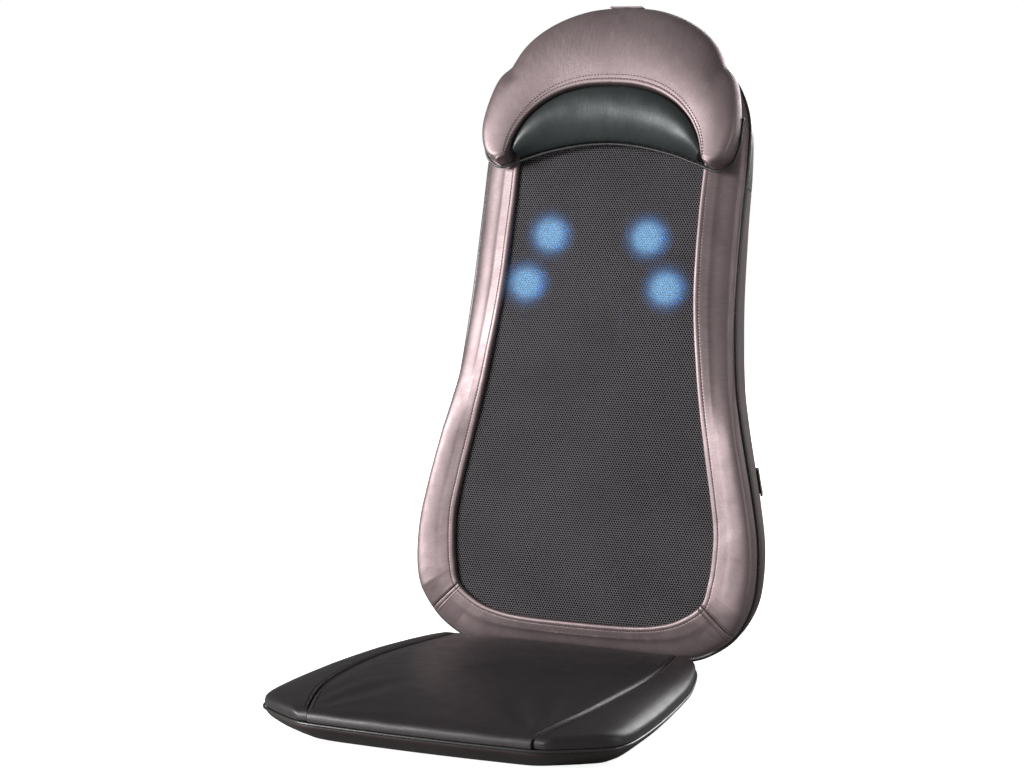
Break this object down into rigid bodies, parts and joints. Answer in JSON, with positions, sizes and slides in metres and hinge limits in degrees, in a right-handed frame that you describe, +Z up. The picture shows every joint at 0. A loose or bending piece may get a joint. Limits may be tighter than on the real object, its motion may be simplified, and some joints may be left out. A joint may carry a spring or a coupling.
{
  "type": "massage seat topper",
  "caption": "Shiatsu massage seat topper: padded back unit with travelling massage nodes behind a mesh panel, flip-over head cushion, fold-up seat pad and corded hand controller.",
  "frame": {"origin": "centre of the flat underside of the seat pad, where it rests on the chair's seat", "axes": "+X to the right of someone looking at the front, -Y the way a seated user faces, +Z up"},
  "size_m": [0.449, 0.6729, 0.8117],
  "materials": {
    "satin_brown_leather": "satin metallic brown upholstery leather",
    "cover_brown_leather": "satin reddish-brown upholstery leather",
    "seat_dark_leather": "smooth dark brown-black leather",
    "glossy_black_leather": "glossy black leather",
    "piping_black": "glossy black piping",
    "spacer_mesh": "open knitted spacer mesh, dark grey",
    "webbing_black": "woven black webbing",
    "black_abs": "fine-grained black plastic",
    "grey_abs": "matt grey plastic",
    "white_nylon": "natural nylon",
    "node_blue": "translucent blue, lit from inside",
    "bright_steel": "bright drawn steel",
    "brass": "machined brass",
    "board_green": "solder-masked circuit board",
    "cable_rubber": "black cable jacket"
  },
  "bodies": {
    "back_unit": {"rear_shell": "black_abs", "rear_cover": "cover_brown_leather", "top_gusset": "glossy_black_leather", "front_frame": "black_abs", "mesh_panel": "spacer_mesh", "border_left": "satin_brown_leather", "border_right": "satin_brown_leather", "border_bottom": "satin_brown_leather", "edge_piping": "piping_black", "strap_lower": "webbing_black", "strap_upper": "webbing_black", "fold_gusset": "webbing_black", "guide_rail_left": "bright_steel", "guide_rail_right": "bright_steel", "rail_bracket_bottom": "black_abs", "rail_bracket_top": "black_abs", "travel_motor": "bright_steel", "control_board": "board_green", "power_socket": "black_abs", "controller_pocket": "seat_dark_leather", "controller_cable": "cable_rubber"},
    "carriage": {"carriage_housing": "grey_abs", "carriage_cover": "grey_abs", "rail_bush_lower_left": "brass", "rail_bush_lower_right": "brass", "rail_bush_upper_left": "brass", "rail_bush_upper_right": "brass", "screw_nut": "brass", "massage_motor": "bright_steel"},
    "lead_screw_body": {"lead_screw": "bright_steel", "screw_coupler": "black_abs"},
    "worm_drive": {"worm_shaft": "bright_steel", "worm_left": "brass", "worm_right": "brass"},
    "massage_disc_left": {"disc_shaft_left": "bright_steel", "worm_wheel_left": "white_nylon", "node_arm_left": "black_abs", "massage_node_left_upper": "node_blue", "massage_node_left_lower": "node_blue"},
    "massage_disc_right": {"disc_shaft_right": "bright_steel", "worm_wheel_right": "white_nylon", "node_arm_right": "black_abs", "massage_node_right_upper": "node_blue", "massage_node_right_lower": "node_blue"},
    "head_cushion": {"cushion_pad": "satin_brown_leather", "cushion_insert": "glossy_black_leather", "cushion_piping": "piping_black", "cushion_flap": "satin_brown_leather"},
    "seat_pad": {"seat_centre": "seat_dark_leather", "seat_side_left": "seat_dark_leather", "seat_side_right": "seat_dark_leather", "seat_base": "cover_brown_leather", "seat_piping": "piping_black", "vibration_motor": "bright_steel"},
    "vibration_rotor": {"vibration_weight": "brass"},
    "hand_controller": {"controller_body": "black_abs"},
    "power_button": {"button_power": "grey_abs"},
    "massage_button": {"button_massage": "grey_abs"},
    "heat_button": {"button_heat": "grey_abs"}
  },
  "joints": [
    {"name": "carriage_travel", "type": "slide", "parent": "back_unit", "child": "carriage", "axis": [0, 0.1718, 0.9851], "range_m": [-0.3, 0.035]},
    {"name": "lead_screw_turn", "type": "hinge", "parent": "back_unit", "child": "lead_screw_body", "pos_m": [0, 0.40274, 0.48395], "axis": [0, 0.1718, 0.9851], "range_deg": [-5401, 631]},
    {"name": "massage_turn_left", "type": "hinge", "parent": "carriage", "child": "massage_disc_left", "pos_m": [-0.078, 0.37762, 0.48833], "axis": [0, -0.9851, 0.1718], "continuous": true},
    {"name": "massage_turn_right", "type": "hinge", "parent": "carriage", "child": "massage_disc_right", "pos_m": [0.078, 0.37762, 0.48833], "axis": [0, -0.9851, 0.1718], "continuous": true},
    {"name": "worm_turn", "type": "hinge", "parent": "carriage", "child": "worm_drive", "pos_m": [0, 0.37312, 0.46252], "axis": [1, 0, 0], "continuous": true},
    {"name": "cushion_flip", "type": "hinge", "parent": "back_unit", "child": "head_cushion", "pos_m": [0, 0.45835, 0.76304], "axis": [-1, 0, 0], "range_deg": [0, 180]},
    {"name": "seat_fold", "type": "hinge", "parent": "back_unit", "child": "seat_pad", "pos_m": [0, 0.23, 0.036], "axis": [-1, 0, 0], "range_deg": [-10, 88]},
    {"name": "vibration_spin", "type": "hinge", "parent": "seat_pad", "child": "vibration_rotor", "pos_m": [0, 0.02, 0.013], "axis": [1, 0, 0], "continuous": true},
    {"name": "controller_lift", "type": "slide", "parent": "back_unit", "child": "hand_controller", "axis": [0, 0.1718, 0.9851], "range_m": [0, 0.1]},
    {"name": "power_press", "type": "slide", "parent": "hand_controller", "child": "power_button", "axis": [0, -0.9851, 0.1718], "range_m": [0, 0.001], "stiffness_N_per_m": 120, "springref_m": -0.0005},
    {"name": "massage_press", "type": "slide", "parent": "hand_controller", "child": "massage_button", "axis": [0, -0.9851, 0.1718], "range_m": [0, 0.001], "stiffness_N_per_m": 120, "springref_m": -0.0005},
    {"name": "heat_press", "type": "slide", "parent": "hand_controller", "child": "heat_button", "axis": [0, -0.9851, 0.1718], "range_m": [0, 0.001], "stiffness_N_per_m": 120, "springref_m": -0.0005}
  ],
  "couplings": [
    {"joint": "lead_screw_turn", "follows": "carriage_travel", "rad_per_m": 314.16},
    {"joint": "massage_turn_right", "follows": "massage_turn_left", "ratio": -1},
    {"joint": "worm_turn", "follows": "massage_turn_left", "ratio": 30}
  ]
}
